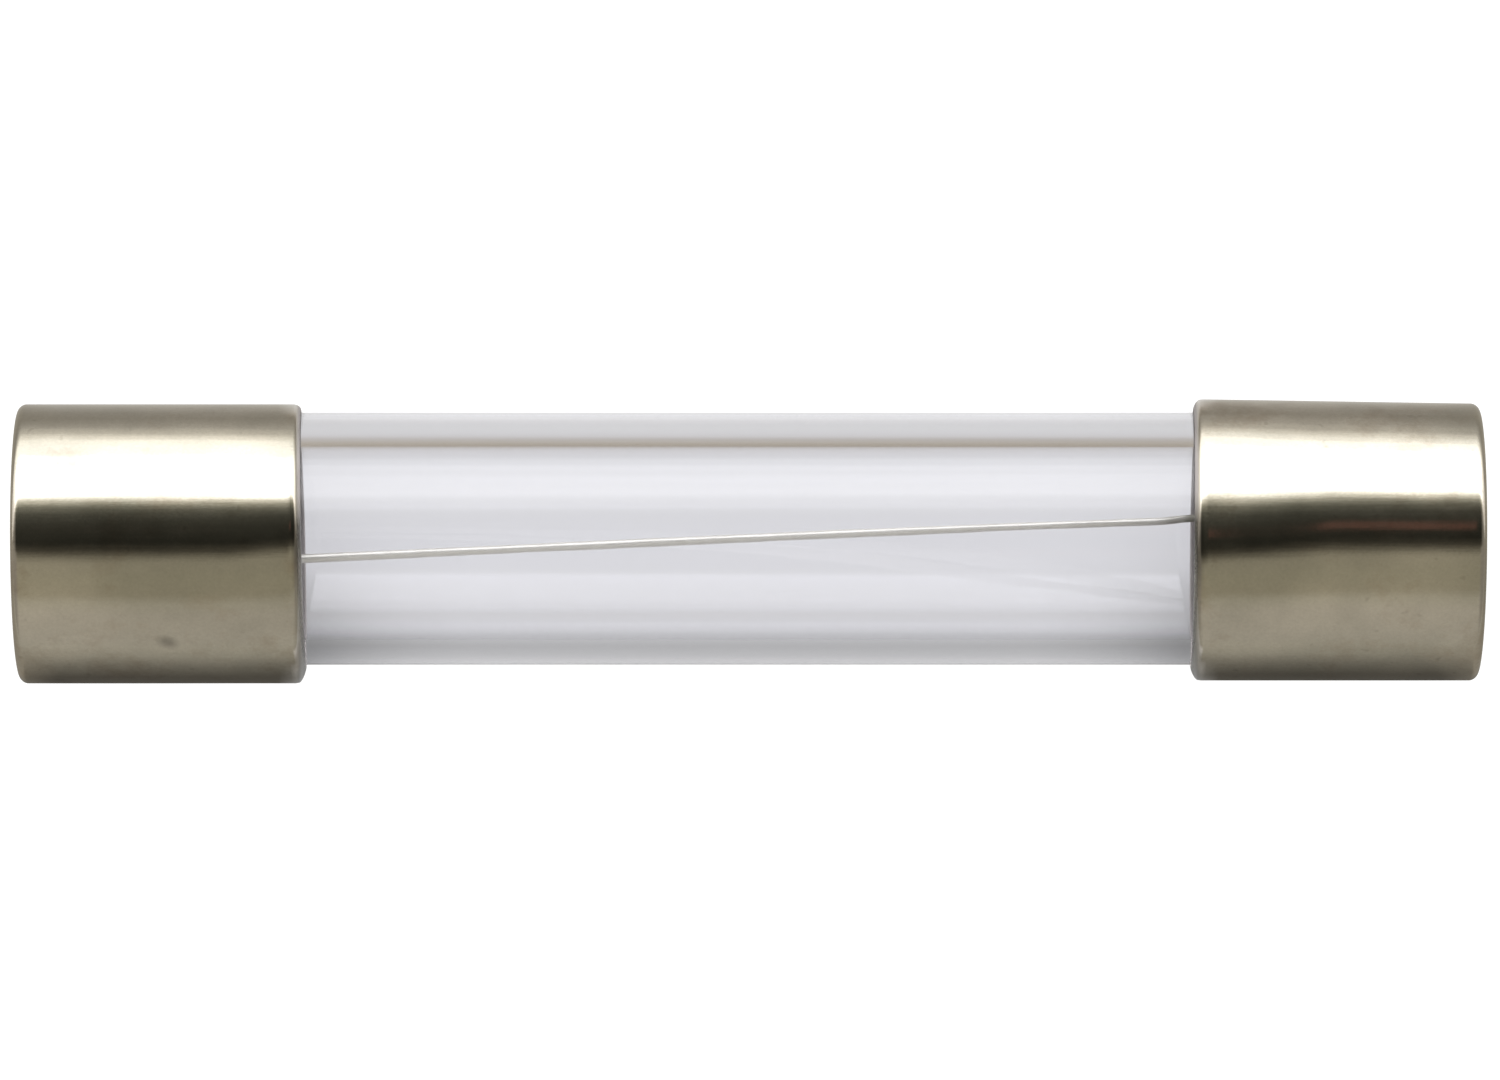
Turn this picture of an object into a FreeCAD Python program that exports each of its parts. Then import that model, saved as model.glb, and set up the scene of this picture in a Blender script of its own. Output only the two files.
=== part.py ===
import FreeCAD, Part

# Glass cartridge fuse of the 6.3 x 32 mm size, a fast one with a single straight fuse wire.
#
# A glass tube carries a drawn, nickel-plated brass cup on each end. One fine wire runs slantwise through the
# bore, is folded outwards over each glass rim, and is caught there by the solder that fills the bottom of
# each cup. A thin ring of cement between glass and cup, just inside each mouth, keeps the cups on.
#
# Frame: millimetres, the tube's axis along X through the origin, origin at mid length, +Z up.
# The fuse lies on its side. "Left" is -X and "right" is +X.

import math
import os

from FreeCAD import Vector

# ---------------------------------------------------------------- driving dimensions
OVERALL_LENGTH = 32.4
CUP_DIAMETER = 6.20
CUP_LENGTH = 6.3
CUP_WALL = 0.16
CUP_FLOOR = 0.30
CUP_CORNER_RADIUS = 0.20        # outside corner of the closed end
CUP_MOUTH_OUTER_RADIUS = 0.10   # rolled-off edge of the open end
CUP_MOUTH_INNER_RADIUS = 0.04
LEFT_CUP_SHIFT = -0.115         # along Y: each cup sits a little off the tube's axis, within its play
RIGHT_CUP_SHIFT = -0.05

TUBE_DIAMETER = 5.60
TUBE_BORE = 4.34
TUBE_RIM_RADIUS = 0.20          # fire-polished edges of both rims
TUBE_TO_FLOOR = 0.35            # solder between each rim and the floor of its cup

WIRE_DIAMETER = 0.19
WIRE_RIM_FILM = 0.05            # solder between the folded wire and the glass
WIRE_END_INSET = 0.10           # the folded end stops this far inside the tube's outside
WIRE_ROLL_DEG = 20.6            # turns the wire's plane about X, from the XZ plane towards Y

SOLDER_CLIMB = 0.40             # how far the solder rises between glass and cup
SOLDER_DOME_HEIGHT = 0.75       # how far it bulges into the bore, measured from the rim
SOLDER_DOME_EDGE = 0.25         # how far it stands up the wall of the bore

CEMENT_INSET = 0.25             # from the cup's mouth to the ring
CEMENT_LENGTH = 2.6

# ---------------------------------------------------------------- derived dimensions
HALF_LENGTH = OVERALL_LENGTH / 2
CUP_RADIUS = CUP_DIAMETER / 2
CUP_BORE_RADIUS = CUP_RADIUS - CUP_WALL
CUP_INNER_CORNER = CUP_CORNER_RADIUS - CUP_WALL
FLOOR_X = HALF_LENGTH - CUP_FLOOR
MOUTH_X = HALF_LENGTH - CUP_LENGTH
RIM_X = FLOOR_X - TUBE_TO_FLOOR
TUBE_RADIUS = TUBE_DIAMETER / 2
BORE_RADIUS = TUBE_BORE / 2
WIRE_RADIUS = WIRE_DIAMETER / 2

X_AXIS = Vector(1, 0, 0)
ORIGIN = Vector(0, 0, 0)
OUT_FOLDER = "parts"


# ---------------------------------------------------------------- helpers
def rounded_wire(corners):
    """Closed outline in the XZ plane from (x, z, corner radius) triples, with a tangent arc at each corner."""
    points = [Vector(x, 0, z) for x, z, _ in corners]
    starts, ends, arcs = [], [], []
    for i, (_, _, radius) in enumerate(corners):
        here = points[i]
        to_last = (points[i - 1] - here).normalize()
        to_next = (points[(i + 1) % len(points)] - here).normalize()
        if radius == 0:
            starts.append(here)
            ends.append(here)
            arcs.append(None)
            continue
        half_angle = to_last.getAngle(to_next) / 2
        setback = radius / math.tan(half_angle)
        inwards = (to_last + to_next).normalize()
        middle = here + inwards * (radius / math.sin(half_angle) - radius)
        starts.append(here + to_last * setback)
        ends.append(here + to_next * setback)
        arcs.append(Part.Arc(starts[-1], middle, ends[-1]).toShape())
    edges = []
    for i in range(len(points)):
        if arcs[i]:
            edges.append(arcs[i])
        edges.append(Part.LineSegment(ends[i], starts[(i + 1) % len(points)]).toShape())
    return Part.Wire(edges)


def lathe(outline):
    """Solid of revolution about the X axis."""
    return Part.Face(outline).revolve(ORIGIN, X_AXIS, 360)


def on_left(shape):
    """The same shape on the other end of the fuse."""
    return shape.mirror(ORIGIN, X_AXIS)


def placed_in_cup(shape, shift):
    """Moves a shape that is centred on its cup to where that cup sits."""
    return shape.translated(Vector(0, shift, 0))


# ---------------------------------------------------------------- glass tube
def glass_tube():
    return lathe(rounded_wire([
        (-RIM_X, BORE_RADIUS, TUBE_RIM_RADIUS),
        (-RIM_X, TUBE_RADIUS, TUBE_RIM_RADIUS),
        (RIM_X, TUBE_RADIUS, TUBE_RIM_RADIUS),
        (RIM_X, BORE_RADIUS, TUBE_RIM_RADIUS),
    ]))


# ---------------------------------------------------------------- end cups, both made as the right one
def end_cup():
    return lathe(rounded_wire([
        (HALF_LENGTH, 0, 0),
        (HALF_LENGTH, CUP_RADIUS, CUP_CORNER_RADIUS),
        (MOUTH_X, CUP_RADIUS, CUP_MOUTH_OUTER_RADIUS),
        (MOUTH_X, CUP_BORE_RADIUS, CUP_MOUTH_INNER_RADIUS),
        (FLOOR_X, CUP_BORE_RADIUS, CUP_INNER_CORNER),
        (FLOOR_X, 0, 0),
    ]))


def cup_room(from_x):
    """The space inside the right cup, from its floor out to from_x."""
    return lathe(rounded_wire([
        (FLOOR_X, 0, 0),
        (FLOOR_X, CUP_BORE_RADIUS, CUP_INNER_CORNER),
        (from_x, CUP_BORE_RADIUS, 0),
        (from_x, 0, 0),
    ]))


# ---------------------------------------------------------------- fuse wire
def wire_centreline():
    """Half of the wire's route in the XZ plane, from the origin to its folded right end, as edges."""
    fold_radius = TUBE_RIM_RADIUS + WIRE_RIM_FILM + WIRE_RADIUS
    fold_x = RIM_X - TUBE_RIM_RADIUS
    fold_z = BORE_RADIUS + TUBE_RIM_RADIUS
    reach = math.hypot(fold_x, fold_z)
    slope = math.atan2(fold_z, fold_x) - math.asin(fold_radius / reach)

    def on_fold(angle):
        return Vector(fold_x + fold_radius * math.cos(angle), 0, fold_z + fold_radius * math.sin(angle))

    touch = slope - math.pi / 2
    straight = Part.LineSegment(ORIGIN, on_fold(touch)).toShape()
    fold = Part.Arc(on_fold(touch), on_fold(touch / 2), on_fold(0)).toShape()
    end = Vector(fold_x + fold_radius, 0, TUBE_RADIUS - WIRE_END_INSET)
    return [straight, fold, Part.LineSegment(on_fold(0), end).toShape()]


def fuse_wire():
    """One wire: the half route and the same route turned half round about Y, swept and then rolled about X."""
    half = wire_centreline()
    other = [edge.rotated(ORIGIN, Vector(0, 1, 0), 180) for edge in half]
    tips = (other[0].Vertexes[1].Point, half[0].Vertexes[1].Point)
    slant = Part.LineSegment(*tips).toShape()
    route = Part.Wire(Part.__sortEdges__(other[1:] + [slant] + half[1:]))
    start = route.OrderedVertexes[0].Point
    heading = route.OrderedEdges[0].tangentAt(route.OrderedEdges[0].FirstParameter)
    section = Part.Wire(Part.Circle(start, heading, WIRE_RADIUS).toShape())
    swept = route.makePipeShell([section], True, True)
    swept.rotate(ORIGIN, X_AXIS, WIRE_ROLL_DEG - 180)
    expected = math.pi * WIRE_RADIUS ** 2 * route.Length
    print("wire length %.2f mm, volume %.4f of %.4f mm3" % (route.Length, swept.Volume, expected))
    return swept


# ---------------------------------------------------------------- solder and cement, in the right cup
def solder_mould():
    """Everything that the solder may fill: the bottom of the cup, a little of the gap, and a dome in the bore."""
    wide = CUP_RADIUS
    edge_x = RIM_X - SOLDER_DOME_EDGE
    crown_x = RIM_X - SOLDER_DOME_HEIGHT
    dome_rise = edge_x - crown_x
    dome_radius = (BORE_RADIUS ** 2 + dome_rise ** 2) / (2 * dome_rise)
    half_way = dome_radius - math.sqrt(dome_radius ** 2 - (BORE_RADIUS / 2) ** 2)
    crown = Vector(crown_x, 0, 0)
    brink = Vector(edge_x, 0, BORE_RADIUS)
    corners = [
        brink,
        Vector(edge_x, 0, TUBE_RADIUS - TUBE_RIM_RADIUS),
        Vector(RIM_X - SOLDER_CLIMB, 0, TUBE_RADIUS - TUBE_RIM_RADIUS),
        Vector(RIM_X - SOLDER_CLIMB, 0, wide),
        Vector(HALF_LENGTH, 0, wide),
        Vector(HALF_LENGTH, 0, 0),
        crown,
    ]
    edges = [Part.LineSegment(a, b).toShape() for a, b in zip(corners, corners[1:])]
    dome = Part.Arc(crown, Vector(crown_x + half_way, 0, BORE_RADIUS / 2), brink).toShape()
    return lathe(Part.Wire(edges + [dome]))


def solder_pool(room, mould, tube, wire):
    return room.common(mould).cut(tube).cut(wire).Solids[0]


def cement_band():
    start = MOUTH_X + CEMENT_INSET
    return Part.makeCylinder(CUP_RADIUS, CEMENT_LENGTH, Vector(start, 0, 0), X_AXIS)


def cement_ring(room, band, tube_core):
    return room.common(band).cut(tube_core).Solids[0]


# ---------------------------------------------------------------- the whole fuse
def build():
    tube = glass_tube()
    tube_core = Part.makeCylinder(TUBE_RADIUS, OVERALL_LENGTH, Vector(-HALF_LENGTH, 0, 0), X_AXIS)
    wire = fuse_wire()
    nodes = {"glass_tube": tube, "fuse_wire": wire}
    for side, shift, to_side in (("left", LEFT_CUP_SHIFT, on_left), ("right", RIGHT_CUP_SHIFT, lambda s: s)):
        room = placed_in_cup(to_side(cup_room(MOUTH_X)), shift)
        nodes[side + "_end_cap"] = placed_in_cup(to_side(end_cup()), shift)
        nodes[side + "_solder"] = solder_pool(room, to_side(solder_mould()), tube, wire)
        nodes[side + "_cement_ring"] = cement_ring(room, to_side(cement_band()), tube_core)
    return nodes


os.makedirs(OUT_FOLDER, exist_ok=True)
for name, shape in build().items():
    print("%-18s valid %s, %d solid, %.3f mm3" % (name, shape.isValid(), len(shape.Solids), shape.Volume))
    shape.exportStep(os.path.join(OUT_FOLDER, name + ".step"))
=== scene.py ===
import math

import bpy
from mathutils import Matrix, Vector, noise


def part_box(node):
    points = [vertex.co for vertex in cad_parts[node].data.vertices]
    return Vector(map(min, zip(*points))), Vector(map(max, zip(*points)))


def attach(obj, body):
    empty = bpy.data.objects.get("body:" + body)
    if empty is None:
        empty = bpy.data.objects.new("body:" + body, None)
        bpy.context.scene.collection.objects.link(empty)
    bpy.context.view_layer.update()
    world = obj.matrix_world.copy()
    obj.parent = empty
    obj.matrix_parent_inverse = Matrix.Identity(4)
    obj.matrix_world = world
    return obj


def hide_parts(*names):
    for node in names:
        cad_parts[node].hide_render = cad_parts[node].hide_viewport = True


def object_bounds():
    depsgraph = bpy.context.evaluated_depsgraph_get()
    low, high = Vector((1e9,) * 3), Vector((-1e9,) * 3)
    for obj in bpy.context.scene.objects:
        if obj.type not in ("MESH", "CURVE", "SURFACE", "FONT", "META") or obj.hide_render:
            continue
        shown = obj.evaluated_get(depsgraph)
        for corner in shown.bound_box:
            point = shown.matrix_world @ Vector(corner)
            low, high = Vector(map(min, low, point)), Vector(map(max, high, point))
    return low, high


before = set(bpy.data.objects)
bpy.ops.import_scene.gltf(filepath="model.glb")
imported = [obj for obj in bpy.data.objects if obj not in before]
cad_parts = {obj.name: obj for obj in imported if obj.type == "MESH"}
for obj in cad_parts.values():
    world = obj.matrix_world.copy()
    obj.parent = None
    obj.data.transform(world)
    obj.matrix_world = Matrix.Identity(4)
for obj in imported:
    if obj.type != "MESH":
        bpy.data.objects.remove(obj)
cad_low, cad_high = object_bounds()

# The looks of a glass cartridge fuse that lies on a pale floor, seen from straight above.
#
# Every CAD node is replaced by a finer mesh of the same size. Metres throughout. The tube's axis is X,
# "left" is -X and "right" is +X. Angles round the axis are measured from +Z (up) towards +Y.

MM = 0.001
TURN = 2 * math.pi
ON_AXIS = 1e-9                  # a smaller radius than this is on the axis

# ---------------------------------------------------------------- sizes, from the frame where it has them
TUBE_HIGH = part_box("glass_tube")[1]
TUBE_RADIUS = TUBE_HIGH.z
TUBE_RIM_X = TUBE_HIGH.x
TUBE_BORE_RADIUS = 2.17 * MM
TUBE_RIM_ROUND = 0.20 * MM
BORE_SHIFT = 0.08 * MM          # between the cups the bore runs this far off the tube's axis, towards -Y
BORE_SHIFT_END_X = 14.4 * MM    # the shift starts here, and is whole after BORE_SHIFT_FADE
BORE_SHIFT_FADE = 2.4 * MM
BORE_UNROUND = 0.010 * MM

CUP_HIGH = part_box("right_end_cap")[1]
CUP_RADIUS = CUP_HIGH.z
CUP_END_X = CUP_HIGH.x
CUP_MOUTH_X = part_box("right_end_cap")[0].x
CUP_WALL = 0.16 * MM
CUP_FLOOR = 0.30 * MM
CUP_CORNER = 0.20 * MM
CUP_LIP_LENGTH = 0.15 * MM      # the mouth's outer edge rolls off over this length, by this depth
CUP_LIP_DEPTH = 0.11 * MM
CUP_LIP_INNER = 0.04 * MM
CUP_CRIMP_LENGTH = 0.20 * MM    # over this length the mouth is drawn in until it meets the glass
CUP_LEDGE_LENGTH = 0.14 * MM    # the wall's inside keeps to the glass over this length
CUP_LEDGE_FADE = 0.08 * MM
CUP_BORE_RADIUS = CUP_RADIUS - CUP_WALL
CUP_FLOOR_X = CUP_END_X - CUP_FLOOR
CUP_INNER_CORNER = CUP_CORNER - CUP_WALL
CUP_WAVE_DEPTH = 0.0035 * MM
CUP_END_LEAN = 0.02 * MM        # how far the closed end leans along the axis, at +Y
CUP_FLAT_WIDTH = math.radians(30)
MOUTH_LEAN = {                  # how the mouth leans along the axis: everywhere, at +Y and at +Z
    "left": (-0.020 * MM, 0.060 * MM, -0.065 * MM),
    "right": (-0.057 * MM, 0.031 * MM, -0.060 * MM),
}
DENT_SHADE_SPOTS = {                       # the middles of spots of painted shade over the left cup's dents, in mm
    "left": [(-12.85, -2.24, 2.23), (-12.71, -2.30, 2.17)],
    "right": [],
}
NICKEL_SHIFT = {"left": 0.0, "right": 40.0}  # in mm, so that the two cups have different clouds and specks

WIRE_RADIUS = 0.095 * MM
WIRE_ROLL = math.radians(20.6)
WIRE_RIM_FILM = 0.05 * MM
WIRE_END_INSET = 0.10 * MM
WIRE_SWAY = 0.045               # how far it stands off the straight route towards +Y, in mm
WIRE_KINK = 0.045               # how much further, in mm, once it has bent near the right cup
WIRE_KINK_X = 9.2 * MM
WIRE_KINK_LENGTH = 0.7 * MM
WIRE_TREMOR = 0.007             # in mm
WIRE_CALM_X = 13.0 * MM         # past this it goes back to the plain route, over WIRE_CALM_FADE
WIRE_CALM_FADE = 2.0 * MM

SOLDER_CROWN = 0.75 * MM        # height of the dome in the bore, from the tube's rim
SOLDER_BRINK = 0.25 * MM        # how far it stands up the bore's wall
SOLDER_CLIMB = 0.40 * MM        # how far it rises between glass and cup
SHORE_HOLLOW = 0.03 * MM        # how much less it rises along either wall than between them

CEMENT_HOLLOW = 0.02 * MM

CONTACT_GAP = 0.008 * MM        # keeps touching surfaces of two pieces from sharing one place

ROUND_SEGMENTS = 256
GLASS_SEGMENTS = 360
INNER_SEGMENTS = 128            # solder and cement
WIRE_SIDES = 24
GLASS_PITCH = 0.8 * MM          # spacing of the points on straight runs
CUP_PITCH = 0.08 * MM
WIRE_PITCH = 0.12 * MM
INNER_PITCH = 0.1 * MM
SOLDER_WALL_PITCH = 0.15 * MM
LIP_STEPS = 14


def cup_centre_y(side):
    low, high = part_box(side + "_end_cap")
    return (low.y + high.y) / 2


# ---------------------------------------------------------------- mesh helpers
def arc(centre_x, centre_r, radius, start_deg, end_deg, steps):
    """Points (x, r) on a circle in the profile plane. 0 degrees is +x, and 90 degrees away from the axis."""
    points = []
    for i in range(steps + 1):
        a = math.radians(start_deg + (end_deg - start_deg) * i / steps)
        points.append((centre_x + radius * math.cos(a), centre_r + radius * math.sin(a)))
    return points


def run(start, end, pitch):
    """Evenly spaced points from start to end, without the two ends."""
    length = math.hypot(end[0] - start[0], end[1] - start[1])
    steps = max(1, round(length / pitch))
    return [tuple(a + (b - a) * i / steps for a, b in zip(start, end)) for i in range(1, steps)]


def joined(*stretches, pitch):
    """One profile from several stretches, with evenly spaced points on the straight runs between them."""
    profile = list(stretches[0])
    for stretch in stretches[1:]:
        profile += run(profile[-1], stretch[0], pitch)
        profile += stretch
    return profile


def smooth_step(value):
    value = min(max(value, 0.0), 1.0)
    return value * value * (3 - 2 * value)


def mesh_object(name, vertices, faces):
    mesh = bpy.data.meshes.new(name)
    mesh.from_pydata(vertices, [], faces)
    mesh.validate()
    for polygon in mesh.polygons:
        polygon.use_smooth = True
    piece = bpy.data.objects.new(name, mesh)
    bpy.context.scene.collection.objects.link(piece)
    return piece


def lathe(name, profile, segments, mirrored=False, closed=False, centre_y=0.0, reshape=None):
    """Turns a profile of (x, r) points about the X axis. A closed profile makes a ring, and an open one
    starts and ends on the axis. centre_y is a number or a function of the point's number. reshape(x, r, angle)
    returns a point's (x, r), for what isn't quite round. mirrored puts the piece on the left."""
    vertices, rings = [], []
    for i, (x, r) in enumerate(profile):
        middle = centre_y(i) if callable(centre_y) else centre_y
        count = 1 if r < ON_AXIS else segments
        rings.append([len(vertices) + k for k in range(count)])
        for k in range(count):
            angle = TURN * k / segments
            px, pr = reshape(x, r, angle) if reshape and count > 1 else (x, r)
            vertices.append((-px if mirrored else px, middle + pr * math.sin(angle), pr * math.cos(angle)))
    faces = []
    pairs = list(zip(rings, rings[1:]))
    if closed:
        pairs.append((rings[-1], rings[0]))
    for ring, following in pairs:
        for k in range(segments):
            after = (k + 1) % segments
            corners = [ring[k % len(ring)], ring[after % len(ring)],
                       following[after % len(following)], following[k % len(following)]]
            face = list(dict.fromkeys(corners))
            faces.append(face if mirrored else face[::-1])
    return mesh_object(name, vertices, faces)


# ---------------------------------------------------------------- node helpers
class Nodes:
    """A material's or the world's node tree, with short calls for the nodes used here."""

    def __init__(self, tree):
        tree.nodes.clear()
        self.tree = tree

    def add(self, kind, inputs=None, **settings):
        node = self.tree.nodes.new(kind)
        for key, value in settings.items():
            setattr(node, key, value)
        for key, value in (inputs or {}).items():
            self.put(node.inputs[key], value)
        return node

    def put(self, socket, value):
        if isinstance(value, bpy.types.NodeSocket):
            self.tree.links.new(value, socket)
        else:
            socket.default_value = value

    def math(self, operation, a, b=0.0):
        return self.add("ShaderNodeMath", {0: a, 1: b}, operation=operation).outputs[0]

    def axes(self, vector):
        """The vector's parts, by the names X, Y and Z."""
        return self.add("ShaderNodeSeparateXYZ", {0: vector}).outputs

    def object_mm(self, stretch=(1, 1, 1)):
        """The point on the object in millimetres, each axis multiplied by its stretch."""
        point = self.add("ShaderNodeTexCoord").outputs["Object"]
        scaled = [value / MM for value in stretch]
        return self.add("ShaderNodeVectorMath", {0: point, 1: scaled}, operation="MULTIPLY").outputs[0]

    def noise(self, vector, scale, detail=3.0, roughness=0.55):
        inputs = {"Vector": vector, "Scale": scale, "Detail": detail, "Roughness": roughness}
        return self.add("ShaderNodeTexNoise", inputs).outputs["Fac"]

    def ramp(self, value, stops):
        """stops are (place, grey or colour), from 0 to 1."""
        node = self.add("ShaderNodeValToRGB", {"Fac": value})
        elements = node.color_ramp.elements
        while len(elements) < len(stops):
            elements.new(0.5)
        for element, (place, colour) in zip(elements, stops):
            element.position = place
            element.color = (*colour, 1) if isinstance(colour, tuple) else (colour, colour, colour, 1)
        return node.outputs["Color"]

    def spread(self, value, low, high, to_low, to_high):
        """value moved from the range low..high to to_low..to_high, and held inside it."""
        inputs = {"Value": value, "From Min": low, "From Max": high, "To Min": to_low, "To Max": to_high}
        return self.add("ShaderNodeMapRange", inputs).outputs["Result"]

    def mix_colour(self, factor, a, b, blend="MIX"):
        node = self.add("ShaderNodeMix", data_type="RGBA", blend_type=blend)
        for socket, value in ((0, factor), (6, a), (7, b)):
            self.put(node.inputs[socket], value if not isinstance(value, tuple) else (*value, 1))
        return node.outputs[2]

    def bump(self, height, distance_mm, strength=1.0, normal=None):
        inputs = {"Height": height, "Distance": distance_mm * MM, "Strength": strength}
        if normal is not None:
            inputs["Normal"] = normal
        return self.add("ShaderNodeBump", inputs).outputs["Normal"]

    def principled(self, **inputs):
        node = self.add("ShaderNodeBsdfPrincipled")
        for key, value in inputs.items():
            socket = node.inputs[key.replace("_", " ")]
            self.put(socket, (*value, 1) if isinstance(value, tuple) else value)
        return node.outputs[0]

    def output(self, shader):
        in_world = isinstance(self.tree.id_data, bpy.types.World)
        self.add("ShaderNodeOutputWorld" if in_world else "ShaderNodeOutputMaterial", {"Surface": shader})


def new_material(name):
    material = bpy.data.materials.new(name)
    material.use_nodes = True
    return material, Nodes(material.node_tree)


# ---------------------------------------------------------------- materials
def plating_tone(n, side, point, clouds, mottle, grain):
    """The nickel's colour: cloudy, with a little brown tarnish and fine specks, and painted shade over the
    dents.
    """
    pits = n.noise(point, 3.2, 2.0, 0.4)
    tarnish = n.noise(point, 0.62, 5.0, 0.7)
    tone = n.mix_colour(n.spread(clouds, 0.38, 0.62, 0, 1), (0.63, 0.593, 0.509), (0.768, 0.715, 0.615))
    tone = n.mix_colour(n.spread(tarnish, 0.52, 0.72, 0, 0.6), tone, (0.55, 0.46, 0.36))
    tone = n.mix_colour(1.0, tone, n.ramp(mottle, [(0.3, 0.90), (0.7, 1.0)]), "MULTIPLY")
    tone = n.mix_colour(1.0, tone, n.ramp(grain, [(0.3, 0.94), (0.7, 1.0)]), "MULTIPLY")
    tone = n.mix_colour(n.spread(pits, 0.70, 0.78, 0, 0.35), tone, (0.40, 0.36, 0.30))
    # painted shade: dark spots over the left cup's dents stand in for the dark that a deeper dent would mirror
    for spot in DENT_SHADE_SPOTS[side]:
        away = n.add("ShaderNodeVectorMath", {0: n.object_mm(), 1: spot}, operation="DISTANCE")
        tone = n.mix_colour(n.spread(away.outputs["Value"], 0.03, 0.23, 0.45, 0), tone, (0.20, 0.18, 0.16))
    return tone


def place_on_cup(n, side):
    """In mm: how far a point is from the mouth's edge, how far it is off the cup's axis towards +Y, and how
    much its surface faces away from that axis, from minus the cup's radius to plus."""
    place = n.axes(n.object_mm())
    off_axis = n.math("SUBTRACT", place["Y"], cup_centre_y(side) / MM)
    everywhere, at_y, at_z = MOUTH_LEAN[side]
    lean = n.math("ADD", n.math("MULTIPLY", off_axis, at_y / CUP_RADIUS),
                  n.math("MULTIPLY", place["Z"], at_z / CUP_RADIUS))
    from_mean_mouth = n.math("SUBTRACT", n.math("ABSOLUTE", place["X"]), (CUP_MOUTH_X + everywhere) / MM)
    from_mouth = n.math("SUBTRACT", from_mean_mouth, lean)
    facing = n.axes(n.add("ShaderNodeTexCoord").outputs["Normal"])
    outwards = n.math("ADD", n.math("MULTIPLY", facing["Y"], off_axis),
                      n.math("MULTIPLY", facing["Z"], place["Z"]))
    return from_mouth, off_axis, outwards


def nickel_material(side):
    """Bright nickel on drawn brass, with faint lines along the draw. Where the cup was trimmed, the mouth's
    edge is duller, and painted shade darkens it, less on the lit +Y side, and a band behind it in the middle
    and on the -Y side. Cement has left a film inside the mouth, painted darker deeper in as shade, and a bead
    on its edge, painted only on the lit +Y side."""
    material, n = new_material(side + "_nickel")
    shift = (NICKEL_SHIFT[side], 0, 0)
    point = n.add("ShaderNodeVectorMath", {0: n.object_mm(), 1: shift}, operation="ADD").outputs[0]
    streaks = n.noise(n.object_mm((0.35, 9, 9)), 1.0, 4.0, 0.6)
    clouds = n.noise(point, 0.34, 2.0, 0.5)
    mottle = n.noise(point, 1.3, 5.0, 0.65)
    grain = n.noise(point, 14.0, 2.0, 0.5)
    tone = plating_tone(n, side, point, clouds, mottle, grain)
    rough = n.math("ADD", n.spread(streaks, 0.3, 0.7, 0.09, 0.13), n.spread(mottle, 0.3, 0.7, -0.01, 0.03))

    from_mouth, off_axis, outwards = place_on_cup(n, side)
    # painted light: the +Y side, towards the window, counts as lit
    painted_lit_side = n.spread(off_axis, 0.4, 1.1, 0, 1)
    # painted shade on the mouth's rounded edge, lighter on the lit +Y side; the added roughness is real
    # dullness
    rim = n.spread(from_mouth, 0.03, 0.12, 1, 0)
    tone = n.mix_colour(rim, tone, n.mix_colour(painted_lit_side, (0.26, 0.245, 0.20), (0.42, 0.39, 0.33)))
    rough = n.math("ADD", rough, n.math("MULTIPLY", rim, 0.16))
    # painted shade in a band just behind the mouth, strongest on the -Y side and in the middle
    by_off_axis = [
        (-3.1, 0.68), (-2.45, 0.48), (-2.0, 0.2), (-1.3, 0.0),
        (-0.6, 0.32), (0.0, 0.6), (0.4, 0.6), (0.9, 0.0),
    ]
    widest = 3.1
    around = n.ramp(n.spread(off_axis, -widest, widest, 0, 1),
                    [(y / widest / 2 + 0.5, amount) for y, amount in by_off_axis])
    mouth_shade = n.math("MULTIPLY", n.spread(from_mouth, 0.12, 0.23, 1, 0), around)
    tone = n.mix_colour(mouth_shade, tone, (0.05, 0.045, 0.035))

    inside = n.math("MULTIPLY", n.spread(outwards, -0.9, -0.3, 1, 0), n.spread(from_mouth, 0.4, 0.7, 1, 0))
    # the cement film: lighter at the mouth and painted darker deeper in, as shade in the recess
    inner_tone = n.mix_colour(n.spread(from_mouth, 0.0, 0.15, 0, 1), (0.88, 0.83, 0.79), (0.36, 0.34, 0.31))
    tone = n.mix_colour(inside, tone, inner_tone)
    # the cement bead on the mouth's edge, painted only on the lit +Y side, and darker towards the +Y edge
    bead = n.math("MULTIPLY", n.spread(from_mouth, 0.04, 0.09, 1, 0), painted_lit_side)
    bead_tone = n.mix_colour(n.spread(off_axis, 1.9, 2.5, 0, 1), (0.45, 0.42, 0.41), (0.27, 0.25, 0.24))
    tone = n.mix_colour(bead, tone, bead_tone)
    film = n.math("MAXIMUM", inside, bead)
    rough = n.math("ADD", rough, n.math("MULTIPLY", film, 0.5))
    metal = n.math("SUBTRACT", 1.0, n.math("MULTIPLY", film, 0.9))

    soft = n.bump(clouds, 0.03, 0.5)
    lines = n.bump(streaks, 0.0012, 0.6, soft)
    normal = n.bump(n.math("MULTIPLY", grain, n.spread(from_mouth, 0.1, 0.3, 0, 1)), 0.0006, 0.6, lines)
    n.output(n.principled(Base_Color=tone, Metallic=metal, Roughness=rough, Normal=normal))
    return material


def glass_material():
    """Clear drawn glass: faint lines along the tube and a light handling film."""
    material, n = new_material("clear_glass")
    lines = n.noise(n.object_mm((0.02, 3.0, 3.0)), 1.0, 3.0, 0.5)
    film = n.noise(n.object_mm((0.5, 1.2, 1.2)), 1.0, 4.0, 0.6)
    rough = n.spread(film, 0.45, 0.8, 0.0, 0.035)
    glass = n.principled(Base_Color=(0.89, 0.89, 0.915), Roughness=rough, IOR=1.5, Transmission_Weight=1.0,
                         Normal=n.bump(lines, 0.004, 0.35))
    clear = n.add("ShaderNodeBsdfTransparent", {"Color": (0.93, 0.93, 0.95, 1)}).outputs[0]
    lamp_ray = n.add("ShaderNodeLightPath").outputs["Is Shadow Ray"]
    n.output(n.add("ShaderNodeMixShader", {0: lamp_ray, 1: glass, 2: clear}).outputs[0])
    return material


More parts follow.
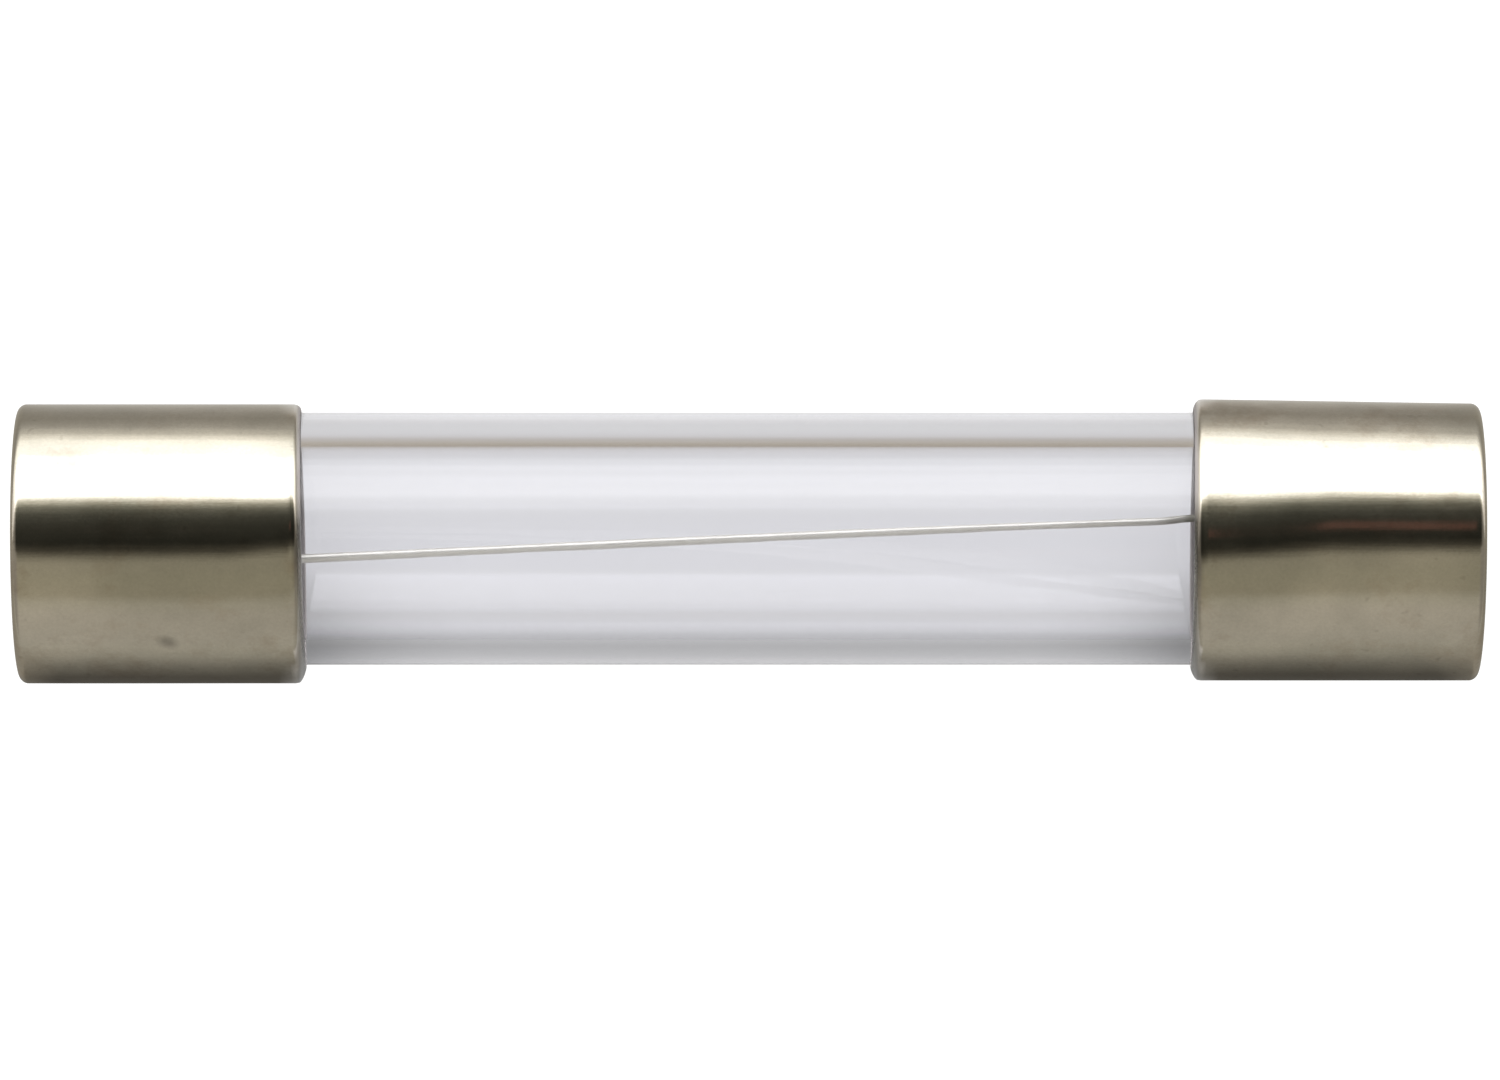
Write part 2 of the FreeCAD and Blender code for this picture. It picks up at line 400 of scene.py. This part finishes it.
def wire_material():
    """Tin-plated copper: satin and unevenly plated, and darkened by painted shade where it nears the right
    cap.
    """
    material, n = new_material("tinned_wire")
    plating = n.noise(n.object_mm(), 5.0, 3.0)
    tone = n.mix_colour(n.spread(plating, 0.35, 0.65, 0, 1), (0.97, 0.955, 0.89), (0.93, 0.915, 0.85))
    along = n.axes(n.object_mm())["X"]
    # painted shade where the wire nears the right cap
    darkening = n.math("ADD", n.spread(along, 9.1, 9.4, 0, 0.4), n.spread(along, 9.65, 9.85, 0, 0.4))
    tone = n.mix_colour(darkening, tone, (0.35, 0.34, 0.27))
    rough = n.spread(plating, 0.3, 0.7, 0.30, 0.38)
    n.output(n.principled(Base_Color=tone, Metallic=0.5, Roughness=rough, Normal=n.bump(plating, 0.004, 0.4)))
    return material


def solder_material():
    """Tin solder that set slowly: dull, with a crystalline frosting."""
    material, n = new_material("solder")
    frost = n.noise(n.object_mm(), 6.0, 5.0, 0.65)
    patches = n.noise(n.object_mm(), 1.3, 2.0)
    tone = n.mix_colour(n.spread(patches, 0.35, 0.65, 0, 1), (0.55, 0.55, 0.54), (0.66, 0.66, 0.65))
    rough = n.spread(frost, 0.3, 0.7, 0.28, 0.48)
    n.output(n.principled(Base_Color=tone, Metallic=1.0, Roughness=rough, Normal=n.bump(frost, 0.015, 0.5)))
    return material


def cement_material():
    """Matt cement with fine grain and slight staining."""
    material, n = new_material("cement")
    grain = n.noise(n.object_mm(), 11.0, 5.0, 0.6)
    darkening = n.noise(n.object_mm(), 1.0, 3.0)
    tone = n.mix_colour(n.spread(darkening, 0.35, 0.7, 0, 1), (0.74, 0.71, 0.63), (0.60, 0.55, 0.46))
    rough = n.spread(grain, 0.3, 0.7, 0.75, 0.95)
    n.output(n.principled(Base_Color=tone, Roughness=rough, Normal=n.bump(grain, 0.02, 0.6)))
    return material


# ---------------------------------------------------------------- glass tube
def glass_tube():
    """Drawn glass: between the cups the bore runs a little off the tube's axis and isn't quite round."""
    out, bore, rim, edge = TUBE_RADIUS, TUBE_BORE_RADIUS, TUBE_RIM_X, TUBE_RIM_ROUND
    right = arc(rim - edge, out - edge, edge, 90, 0, 10) + arc(rim - edge, bore + edge, edge, 0, -90, 10)
    left = [(-x, r) for x, r in reversed(right)]
    profile = joined(right, left, pitch=GLASS_PITCH)
    profile += run(profile[-1], profile[0], GLASS_PITCH)
    mid_wall = (out + bore) / 2

    def centre(i):
        x, r = profile[i]
        if r > mid_wall:
            return 0.0
        return -BORE_SHIFT * smooth_step((BORE_SHIFT_END_X - abs(x)) / BORE_SHIFT_FADE)

    def reshape(x, r, angle):
        if r > mid_wall:
            return x, r
        spot = Vector((math.cos(angle), math.sin(angle), 0)) * 2.2
        return x, r + BORE_UNROUND * noise.noise(spot)

    return lathe("tube_glass", profile, GLASS_SEGMENTS, closed=True, centre_y=centre, reshape=reshape)


# ---------------------------------------------------------------- end cups
def cup_profile():
    """From the middle of the closed end's outside, over the mouth's lip, to the middle of the cup's floor."""
    r, bore, inner = CUP_RADIUS, CUP_BORE_RADIUS, CUP_INNER_CORNER
    corner = arc(CUP_END_X - CUP_CORNER, r - CUP_CORNER, CUP_CORNER, 0, 90, 16)
    lip = []
    for i in range(LIP_STEPS + 1):
        a = i / LIP_STEPS * math.pi / 2
        lip.append((CUP_MOUTH_X + CUP_LIP_LENGTH * (1 - math.sin(a)), r - CUP_LIP_DEPTH * (1 - math.cos(a))))
    lip += arc(CUP_MOUTH_X + CUP_LIP_INNER, bore + CUP_LIP_INNER, CUP_LIP_INNER, 180, 270, 6)
    inside = arc(CUP_FLOOR_X - inner, bore - inner, inner, 90, 0, 6)
    return joined([(CUP_END_X, 0)], corner, lip, inside, [(CUP_FLOOR_X, 0)], pitch=CUP_PITCH)


def turned(angle, other):
    """The angle from other to angle, from minus half a turn to half a turn."""
    return (angle - other + math.pi) % TURN - math.pi


def cup_shape(side, seed, flare, flat, dents):
    """How one cup differs from a perfect one: waves of a few microns from the draw, a mouth that leans, a
    closed end that leans less, a little flare on the +Y side, a flat (depth, angle, how far along it starts)
    behind the mouth, which swells where its depth is negative, and small dents (x, angle, width, depth). The
    mouth's edge is drawn in until it meets the glass, which is further on the side where the cup stands off
    the tube, and the wall's inside keeps to the glass for a short way."""
    length = CUP_END_X - CUP_MOUTH_X
    flat_depth, flat_angle, flat_start = flat
    centre_y, mouth_lean = cup_centre_y(side), MOUTH_LEAN[side]

    def play(y, z):
        """The room between the glass and the cup's wall in the direction (y, z) from the cup's axis."""
        glass = math.sqrt(TUBE_RADIUS ** 2 - (centre_y * z) ** 2) - centre_y * y
        return CUP_BORE_RADIUS - glass - CONTACT_GAP

    def reshape(x, r, angle):
        along = (CUP_END_X - x) / length
        y, z = math.sin(angle), math.cos(angle)
        lean = (mouth_lean[0] + mouth_lean[1] * y + mouth_lean[2] * z) * smooth_step(along)
        lean += CUP_END_LEAN * y * r / CUP_RADIUS * smooth_step(1 - 3 * along)
        if x > CUP_FLOOR_X + CONTACT_GAP:
            outside = r / CUP_RADIUS
        else:
            outside = min(max((r - CUP_BORE_RADIUS) / CUP_WALL, 0), 1)
        rise = flare * max(y, 0) ** 2 * (along - 0.5)
        if x < CUP_END_X - CUP_CORNER:
            rise -= CUP_WAVE_DEPTH * max(noise.noise(Vector((x / MM * 0.32, y * 1.6, z * 1.6 + seed))), 0)
            away = turned(angle, flat_angle) / CUP_FLAT_WIDTH
            rise -= flat_depth * math.exp(-away * away) * smooth_step((along - flat_start) / (1 - flat_start))
            for dent_x, dent_angle, width, dent_depth in dents:
                reach = math.hypot(x - dent_x, turned(angle, dent_angle) * r) / width
                rise -= dent_depth * math.exp(-reach * reach)
        from_mouth = x - CUP_MOUTH_X
        if r < CUP_BORE_RADIUS + 1.1 * CUP_LIP_INNER:
            drawn_in = 1 - smooth_step((from_mouth - CUP_LEDGE_LENGTH) / CUP_LEDGE_FADE)
        else:
            drawn_in = max(1 - from_mouth / CUP_CRIMP_LENGTH, 0) ** 2
        return x + lean, r + rise * outside - drawn_in * max(play(y, z), 0)

    return reshape


def end_cup(side):
    if side == "left":
        dents = [
            (12.80 * MM, math.radians(-44.5), 0.15 * MM, 0.010 * MM),
            (12.95 * MM, math.radians(-43), 0.25 * MM, 0.004 * MM),
        ]
        reshape = cup_shape("left", 3.1, 0.0, (-0.07 * MM, math.radians(15), 0.70), dents)
    else:
        reshape = cup_shape("right", 7.7, 0.10 * MM, (0.11 * MM, math.radians(20), 0.52), [])
    return lathe(side + "_cup", cup_profile(), ROUND_SEGMENTS, side == "left",
                 centre_y=cup_centre_y(side), reshape=reshape)


# ---------------------------------------------------------------- fuse wire
def wire_route():
    """The wire's centreline: slantwise through the bore, nearly straight, then folded out over each rim."""
    fold_radius = TUBE_RIM_ROUND + WIRE_RIM_FILM + WIRE_RADIUS
    fold_x = TUBE_RIM_X - TUBE_RIM_ROUND
    fold_r = TUBE_BORE_RADIUS + TUBE_RIM_ROUND
    slope = math.atan2(fold_r, fold_x) - math.asin(fold_radius / math.hypot(fold_x, fold_r))
    fold = arc(fold_x, fold_r, fold_radius, math.degrees(slope) - 90, 0, 10)
    half = fold + [(fold_x + fold_radius, TUBE_RADIUS - WIRE_END_INSET)]
    start = (-fold[0][0], -fold[0][1])
    points = [(-x, -r) for x, r in reversed(half)] + run(start, fold[0], WIRE_PITCH) + half
    turn = WIRE_ROLL - math.pi
    route = []
    for x, r in points:
        calm = 1 - smooth_step((abs(x) - WIRE_CALM_X) / WIRE_CALM_FADE)
        kink = WIRE_KINK * smooth_step((x - WIRE_KINK_X) / WIRE_KINK_LENGTH)
        tremor_y = WIRE_TREMOR * noise.noise(Vector((x / MM * 0.5, 4.0, 0)))
        tremor_z = WIRE_TREMOR * noise.noise(Vector((x / MM * 0.5, 0, 9.0)))
        sway_y = (WIRE_SWAY + kink + tremor_y) * MM * calm
        sway_z = tremor_z * MM * calm
        route.append(Vector((x, -r * math.sin(turn) + sway_y, r * math.cos(turn) + sway_z)))
    return route


def fuse_wire():
    """A round section carried along the route without twist, closed at both cut ends."""
    route, sides = wire_route(), WIRE_SIDES
    vertices, faces = [], []
    across = Vector((0, 1, 0))
    for i, point in enumerate(route):
        heading = (route[min(i + 1, len(route) - 1)] - route[max(i - 1, 0)]).normalized()
        across = (across - heading * across.dot(heading)).normalized()
        other = heading.cross(across)
        radius = WIRE_RADIUS * (1 + 0.03 * noise.noise(Vector((point.x / MM * 1.3, 2.0, 5.0))))
        for k in range(sides):
            a = TURN * k / sides
            vertices.append(point + (across * math.cos(a) + other * math.sin(a)) * radius)
    for i in range(len(route) - 1):
        for k in range(sides):
            after = (k + 1) % sides
            faces.append([i * sides + k, i * sides + after, (i + 1) * sides + after, (i + 1) * sides + k])
    last = (len(route) - 1) * sides
    faces.append(list(range(sides))[::-1])
    faces.append([last + k for k in range(sides)])
    return mesh_object("wire", [tuple(v) for v in vertices], faces)


# ---------------------------------------------------------------- solder and cement
def solder_pool(side):
    """Fills the cup's bottom round the tube's rim and bulges into the bore. Its inner points are centred on
    the tube, and its outer ones on the cup."""
    gap, rim, edge = CONTACT_GAP, TUBE_RIM_X, TUBE_RIM_ROUND
    bore, out = TUBE_BORE_RADIUS - 1.5 * gap, TUBE_RADIUS + gap
    brink_x, crown_x = rim - SOLDER_BRINK, rim - SOLDER_CROWN
    rise = brink_x - crown_x
    dome_radius = (bore ** 2 + rise ** 2) / (2 * rise)
    half_angle = math.degrees(math.asin(bore / dome_radius))
    dome = arc(crown_x + dome_radius, 0, dome_radius, 180, 180 - half_angle, 28)
    dome[0] = (crown_x, 0)
    glass_rim = arc(rim - edge, bore + edge, edge, -90, 0, 6) + arc(rim - edge, out - edge, edge, 0, 90, 6)
    glass_rim = [(x + gap, r) for x, r in glass_rim]
    shore = rim - SOLDER_CLIMB
    shoreline = [(shore + SHORE_HOLLOW, out), (shore, (out + CUP_BORE_RADIUS) / 2)]
    corner = CUP_INNER_CORNER
    wall = [(shore + SHORE_HOLLOW, CUP_BORE_RADIUS - gap)]
    wall += arc(CUP_FLOOR_X - corner, CUP_BORE_RADIUS - corner, corner - gap, 90, 0, 6)
    inner = joined(dome, glass_rim, shoreline, pitch=INNER_PITCH)
    outer = joined(wall, [(CUP_FLOOR_X - gap, 0)], pitch=SOLDER_WALL_PITCH)
    shift = cup_centre_y(side)
    seed = 1.7 if side == "left" else 6.4

    def centre(i):
        return 0.0 if i < len(inner) else shift

    def reshape(x, r, angle):
        if x < brink_x - 0.001 * MM and r < bore * 0.98:
            spot = Vector((r / MM * math.cos(angle), r / MM * math.sin(angle), seed))
            return x + 0.05 * MM * noise.noise(spot * 0.7) * (1 - (r / bore) ** 4), r
        return x, r

    return lathe(side + "_solder_pool", inner + outer, INNER_SEGMENTS, side == "left",
                 centre_y=centre, reshape=reshape)


def cement_ring(side):
    """A ring with slightly hollow, uneven ends where the cement drew back as it dried."""
    low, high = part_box(side + "_cement_ring")
    start, end = sorted((abs(low.x), abs(high.x)))
    inner, outer = TUBE_RADIUS + CONTACT_GAP, CUP_BORE_RADIUS - CONTACT_GAP
    shift = cup_centre_y(side)
    near = [(start, inner), (start + CEMENT_HOLLOW, (inner + outer) / 2), (start, outer)]
    far = [(end, outer), (end - CEMENT_HOLLOW, (inner + outer) / 2), (end, inner)]
    profile = joined(near, far, pitch=INNER_PITCH)
    far_middle = len(profile) - 2
    profile += run(profile[-1], profile[0], INNER_PITCH)

    def centre(i):
        """On the tube inside, on the cup outside, and half way for the middles of the two ends."""
        if i in (1, far_middle):
            return shift / 2
        return shift if 2 <= i < far_middle else 0.0

    def reshape(x, r, angle):
        near_end = x < start + 0.05 * MM
        spot = Vector((math.cos(angle) * 3, math.sin(angle) * 3, shift / MM * 20))
        return (x + 0.04 * MM * abs(noise.noise(spot)) if near_end else x), r

    return lathe(side + "_cement", profile, INNER_SEGMENTS, side == "left", closed=True,
                 centre_y=centre, reshape=reshape)


# ---------------------------------------------------------------- the fuse
def place(piece, node, slot, material):
    """Gives a piece its material, hangs it on the root body and hides the CAD node it stands for."""
    piece.data.materials.append(material)
    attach(piece, "root")
    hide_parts(node)


def build_fuse():
    solder, cement = solder_material(), cement_material()
    place(glass_tube(), "glass_tube", "clear_glass", glass_material())
    place(fuse_wire(), "fuse_wire", "tinned_wire", wire_material())
    for side in ("left", "right"):
        place(end_cup(side), side + "_end_cap", "nickel_plated_brass", nickel_material(side))
        place(solder_pool(side), side + "_solder", "solder", solder)
        place(cement_ring(side), side + "_cement_ring", "cement", cement)


# ---------------------------------------------------------------- floor, light and camera
FLOOR_Z = cad_low.z
FLOOR_SIZE = 4.0

OVERHEAD_HEIGHT = 0.6
OVERHEAD_LENGTH = 1.4
OVERHEAD_HALF_ANGLE = math.radians(50)
OVERHEAD_RADIANCE = 1.0

CAMERA_HEIGHT = 0.233
CAMERA_LENS = 251.8
CAMERA_SENSOR = 36
CAMERA_OFFSET = (0.03 * MM, -0.03 * MM)
CAMERA_CLIP = (0.01, 10)


def floor_material():
    """White acrylic, lit softly from above and below. Seen through the glass it is painted darker away from
    the fuse, as where slanting rays would leave a lit sheet. In the metal it mirrors with painted shadow under
    the cups and painted light towards the window on the +Y side."""
    material, n = new_material("floor_acrylic")
    grain = n.noise(n.object_mm(), 0.8, 3.0)
    white = n.mix_colour(grain, (0.29, 0.29, 0.29), (0.31, 0.31, 0.31))
    lit = n.add("ShaderNodeBsdfDiffuse", {"Color": white}).outputs[0]
    glow = n.add("ShaderNodeEmission", {"Color": (1, 1, 1, 1), "Strength": 0.85}).outputs[0]
    table = n.add("ShaderNodeAddShader", {0: lit, 1: glow}).outputs[0]
    place = n.axes(n.object_mm())
    from_middle = n.math("ABSOLUTE", place["X"])

    def across(stops, reach):
        """Colours by the distance in mm from the fuse's axis, -Y to +Y."""
        return n.ramp(n.spread(place["Y"], -reach, reach, 0, 1), [(y / reach / 2 + 0.5, c) for y, c in stops])

    # painted shadow under the cups and painted light towards the window, for mirrored rays
    under_cups = across([
        (-60, (0.265, 0.257, 0.227)), (-36, (0.25, 0.242, 0.213)), (-19, (0.215, 0.21, 0.185)),
        (-13, (0.155, 0.15, 0.133)), (-8.2, (0.088, 0.085, 0.075)), (-6, (0.053, 0.05, 0.044)),
        (0, (0.053, 0.05, 0.044)), (3.4, (0.36, 0.35, 0.325)), (4.6, (0.30, 0.29, 0.27)),
        (6.6, (0.22, 0.21, 0.193)), (8.6, (0.20, 0.19, 0.172)), (12, (0.26, 0.25, 0.23)),
        (14, (0.29, 0.28, 0.26)), (17.5, (0.39, 0.38, 0.35)), (22, (0.41, 0.40, 0.37)),
        (31, (0.66, 0.645, 0.61)), (45, (0.70, 0.69, 0.65)), (60, (0.92, 0.92, 0.89)),
    ], 60)
    # painted shade for what the glass shows: darker off the fuse's axis, most on the -Y side
    through_glass = across([
        (-40, (0.90, 0.90, 0.92)), (-20, (0.66, 0.66, 0.68)), (-12, 0.50), (-7.7, 0.54), (-5.7, 0.48),
        (-4.3, 0.52), (-3.2, 0.70), (-2.4, 0.84), (-1.4, 0.87), (-0.7, (0.97, 0.97, 0.98)), (0, 1.0),
        (2.4, 0.91), (3.1, 0.79), (4.5, 0.75), (5.7, (0.69, 0.68, 0.68)), (6.8, (0.53, 0.50, 0.47)),
        (8.2, (0.42, 0.375, 0.31)), (11, (0.26, 0.20, 0.13)), (20, (0.45, 0.42, 0.38)), (40, 0.90),
    ], 40)

    # the cups' soft shadow on what the glass shows, strongest on the -Y side
    shadow = n.ramp(n.spread(from_middle, 6, 10, 0, 1), [
        (0.1, 0.0), (0.4, 0.07), (0.58, 0.15), (0.75, 0.26), (0.86, 0.35), (0.95, 0.42), (1.0, 0.44),
    ])
    away_from_light = across([(-3, 1.0), (-1.8, 0.72), (-0.8, 0.4), (0.5, 0.2), (3, 0.1), (6, 0.0)], 40)
    shadow = n.math("MULTIPLY", shadow, away_from_light)
    through_glass = n.mix_colour(shadow, through_glass, (0.0, 0.0, 0.0))

    # the floor in front of the two cups isn't lit quite alike, and it is lighter past the fuse's ends
    unlike_ends = n.math("MULTIPLY", n.spread(place["Y"], 12, 20, 0, 1),
                         n.spread(place["X"], -13, 13, 0.08, -0.15))
    under_cups = n.mix_colour(1.0, under_cups, n.math("ADD", unlike_ends, 1.0), "MULTIPLY")
    past_ends = n.math("MULTIPLY", n.spread(from_middle, 15.6, 17.5, 0, 0.8),
                       across([(-40, 0.0), (-20, 1.0), (5, 1.0), (12, 0.0)], 40))
    under_cups = n.mix_colour(past_ends, under_cups, (0.225, 0.21, 0.18))

    # a mirrored ray sees the cups' colours near them and far off, and the tube's between them
    by_cups = n.math("MULTIPLY", n.spread(from_middle, 5, 9, 0, 1), n.spread(place["Y"], -12, -8, 1, 0))
    for nearer in (n.spread(from_middle, 9.6, 10.6, 0, 1), n.spread(place["Y"], 5, 8, 0, 1),
                   n.spread(place["Y"], -35, -20, 1, 0)):
        by_cups = n.math("MAXIMUM", by_cups, nearer)
    glass_seen = n.add("ShaderNodeEmission", {"Color": through_glass, "Strength": 1.0}).outputs[0]
    metal_seen = n.add("ShaderNodeEmission", {
        "Color": n.mix_colour(by_cups, through_glass, under_cups),
        "Strength": n.spread(by_cups, 0, 1, 1.0, 1.6),
    }).outputs[0]
    path = n.add("ShaderNodeLightPath").outputs
    unrefracted = n.add("ShaderNodeMixShader", {0: path["Is Glossy Ray"], 1: table, 2: metal_seen}).outputs[0]
    seen = {0: path["Is Transmission Ray"], 1: unrefracted, 2: glass_seen}
    n.output(n.add("ShaderNodeMixShader", seen).outputs[0])
    return material


def build_floor():
    h = FLOOR_SIZE / 2
    corners = [(-h, -h, FLOOR_Z), (h, -h, FLOOR_Z), (h, h, FLOOR_Z), (-h, h, FLOOR_Z)]
    floor = mesh_object("floor", corners, [[0, 1, 2, 3]])
    floor.data.materials.append(floor_material())


def build_overhead_light():
    """A long softbox along X right over the fuse. It lights the floor and what is matt, and no mirrored or
    refracted ray sees it, because the world holds what those see."""
    width = 2 * OVERHEAD_HEIGHT * math.tan(OVERHEAD_HALF_ANGLE)
    data = bpy.data.lights.new("overhead", "AREA")
    data.shape = "RECTANGLE"
    data.size, data.size_y = OVERHEAD_LENGTH, width
    data.energy = OVERHEAD_RADIANCE * math.pi * OVERHEAD_LENGTH * width
    light = bpy.data.objects.new("overhead", data)
    light.location = (0, 0, OVERHEAD_HEIGHT)
    light.visible_camera = False
    light.visible_glossy = False
    light.visible_transmission = False
    bpy.context.scene.collection.objects.link(light)


def build_world():
    """What metal and glass mirror: a tall window with soft edges on the +Y side, the dark round the lens, and
    a grey room on the -Y side, with plain walls past both ends. Stops are degrees from straight up, towards
    +Y. The camera itself sees plain white."""
    world = bpy.data.worlds.new("studio")
    bpy.context.scene.world = world
    world.use_nodes = True
    n = Nodes(world.node_tree)
    way = n.axes(n.add("ShaderNodeTexCoord").outputs["Generated"])
    skew = n.spread(way["X"], -0.06, 0.06, math.radians(-1.4), math.radians(1.5))
    angle = n.math("SUBTRACT", n.math("ARCTAN2", way["Y"], way["Z"]), skew)
    place_on_ramp = n.spread(angle, -math.pi, math.pi, 0, 1)

    def by_angle(stops):
        return n.ramp(place_on_ramp, [(deg / 360 + 0.5, colour) for deg, colour in stops])

    room = by_angle([
        (-90, (0.43, 0.415, 0.37)), (-60, (0.48, 0.455, 0.40)), (-50, (0.46, 0.44, 0.37)),
        (-42, (0.36, 0.335, 0.26)), (-28, (0.35, 0.33, 0.255)), (-14, (0.335, 0.315, 0.25)),
        (-5, (0.06, 0.055, 0.043)), (1, (0.020, 0.020, 0.016)), (16, (0.038, 0.038, 0.031)),
        (26, (0.07, 0.07, 0.058)),
    ])
    warm = by_angle([(7, 0.0), (10, 1.0), (12.5, 1.0), (16, 0.0)])
    warm = n.math("MULTIPLY", warm, n.spread(way["X"], 0.0, 0.03, 0, 1))
    warm = n.math("MULTIPLY", warm, n.spread(way["X"], 0.08, 0.1, 1, 0))
    room = n.mix_colour(warm, room, (0.14, 0.075, 0.06))
    window = by_angle([
        (24, 0.0), (29, (0.022, 0.022, 0.018)), (32, (0.06, 0.06, 0.05)), (35, (0.17, 0.167, 0.14)),
        (38, (0.42, 0.415, 0.38)), (40.5, (0.86, 0.86, 0.84)), (42, 1.0), (78, 1.0), (80, 0.70),
        (92, 0.68), (100, 0.4),
    ])
    room = n.mix_colour(1.0, room, n.mix_colour(1.0, window, (2.4, 2.4, 2.4), "MULTIPLY"), "ADD")

    aside = n.math("ABSOLUTE", way["X"])
    walls = n.mix_colour(by_angle([(15, 0.0), (35, 1.0)]), (0.30, 0.28, 0.25), (0.78, 0.74, 0.71))
    from_room, from_window = n.spread(aside, 0.3, 0.7, 0, 0.9), n.spread(aside, 0.6, 0.95, 0, 0.9)
    reach = n.mix_colour(by_angle([(-10, 0.0), (-5, 1.0)]), from_room, from_window)
    room = n.mix_colour(reach, room, walls)

    to_camera = n.add("ShaderNodeLightPath").outputs["Is Camera Ray"]
    colour = n.mix_colour(to_camera, room, (1.0, 1.0, 1.0))
    n.output(n.add("ShaderNodeBackground", {"Color": colour, "Strength": 1.0}).outputs[0])


def build_camera():
    data = bpy.data.cameras.new("camera")
    data.sensor_width = CAMERA_SENSOR
    data.lens = CAMERA_LENS
    data.clip_start, data.clip_end = CAMERA_CLIP
    camera = bpy.data.objects.new("camera", data)
    camera.location = (*CAMERA_OFFSET, CAMERA_HEIGHT)
    bpy.context.scene.collection.objects.link(camera)
    bpy.context.scene.camera = camera


build_camera()
build_fuse()
build_floor()
build_overhead_light()
build_world()
bpy.context.scene.view_settings.view_transform = "Standard"
